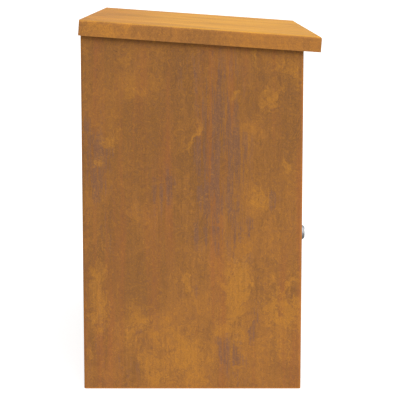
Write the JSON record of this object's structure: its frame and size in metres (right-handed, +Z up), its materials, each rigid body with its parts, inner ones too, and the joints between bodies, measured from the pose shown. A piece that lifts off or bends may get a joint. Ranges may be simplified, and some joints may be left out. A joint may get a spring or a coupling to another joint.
{
  "type": "letter box",
  "caption": "Rusted steel letter box with a sloping overhanging lid that lifts, an inner letter slot and a locking front door.",
  "frame": {"origin": "middle of the whole box's footprint, lid included, on the surface it stands on", "axes": "+X across the width, -Y out of the front door, +Z up"},
  "size_m": [0.42, 0.2392, 0.3735],
  "materials": {
    "rusted_sheet": "matte, evenly rusted weathering steel with soft streaks and cloudy patches",
    "rusted_inside": "matte, darker sheltered rust",
    "hinge_steel": "dull zinc with rust at its edges",
    "lock_chrome": "polished, slightly dulled",
    "black_rubber": "matte"
  },
  "bodies": {
    "case": {"case_wrap": "rusted_sheet", "base_pan": "rusted_sheet", "header": "rusted_sheet", "inlet_plate": "rusted_inside", "door_stops": "rusted_inside", "door_buffers": "black_rubber", "lid_buffers": "black_rubber", "lid_leaf_fixed": "hinge_steel", "lid_hinge_pin": "hinge_steel", "door_pin_upper": "hinge_steel", "door_pin_lower": "hinge_steel", "door_washer_lower": "hinge_steel"},
    "lid": {"lid": "rusted_sheet", "lid_leaf_moving": "hinge_steel"},
    "door": {"door": "rusted_sheet", "door_washer_upper": "hinge_steel", "lock_housing": "lock_chrome", "lock_nut": "hinge_steel"},
    "lock": {"lock_plug": "lock_chrome", "lock_cam": "hinge_steel", "cam_washer": "hinge_steel", "cam_screw": "hinge_steel"}
  },
  "joints": [
    {"name": "lid_hinge", "type": "hinge", "parent": "case", "child": "lid", "pos_m": [0, 0.11302, 0.3681], "axis": [-1, 0, 0], "range_deg": [0, 90]},
    {"name": "door_hinge", "type": "hinge", "parent": "case", "child": "door", "pos_m": [0.173, -0.09628, 0.15], "axis": [0, 0, 1], "range_deg": [0, 105]},
    {"name": "lock_turn", "type": "hinge", "parent": "door", "child": "lock", "pos_m": [-0.16, -0.10229, 0.153], "axis": [0, 1, 0], "range_deg": [0, 90]}
  ]
}
